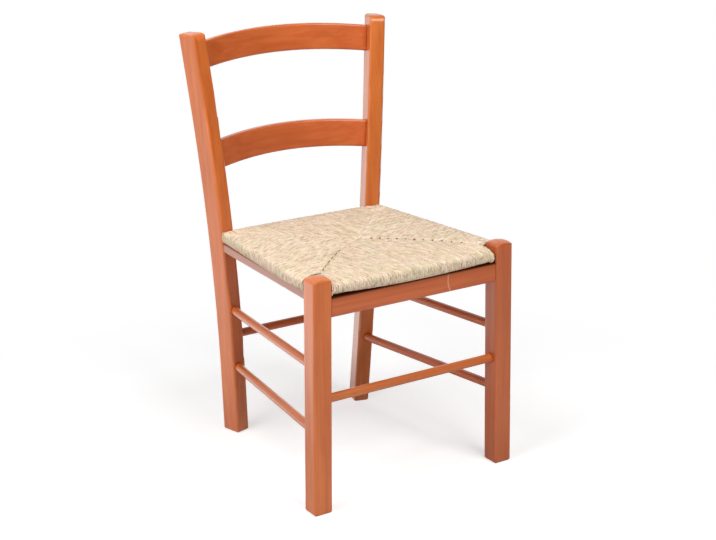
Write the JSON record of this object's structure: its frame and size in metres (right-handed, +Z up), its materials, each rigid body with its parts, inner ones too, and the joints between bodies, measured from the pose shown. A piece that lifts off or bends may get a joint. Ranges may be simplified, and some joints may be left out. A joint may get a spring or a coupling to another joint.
{
  "type": "dining chair",
  "caption": "Wooden dining chair with a woven rush seat, square crowned front legs, flared rear posts, bowed back slats and round stretchers.",
  "frame": {"origin": "on the floor, under the middle of the chair's bounding box", "axes": "+Z up, -Y the way a sitter faces, +X to the right as seen from the front"},
  "size_m": [0.4841, 0.5406, 0.8756],
  "materials": {
    "stained_beech": "satin",
    "plain_beech": "matte",
    "rush": "matte",
    "straw": "matte",
    "zinc_steel": "satin"
  },
  "bodies": {
    "root": {"front_leg_left": "stained_beech", "front_leg_right": "stained_beech", "rear_post_left": "stained_beech", "rear_post_right": "stained_beech", "top_slat": "stained_beech", "lower_slat": "stained_beech", "front_seat_rail": "stained_beech", "rear_seat_rail": "stained_beech", "side_seat_rail_left": "stained_beech", "side_seat_rail_right": "stained_beech", "front_stretcher": "stained_beech", "rear_stretcher": "stained_beech", "left_upper_stretcher": "stained_beech", "left_lower_stretcher": "stained_beech", "right_upper_stretcher": "stained_beech", "right_lower_stretcher": "stained_beech", "seat_frame_front": "plain_beech", "seat_frame_rear": "plain_beech", "seat_frame_left": "plain_beech", "seat_frame_right": "plain_beech", "seat_corner_block_left": "plain_beech", "seat_corner_block_right": "plain_beech", "rush_seat": "rush", "seat_stuffing": "straw", "seat_screws": "zinc_steel"}
  },
  "joints": []
}
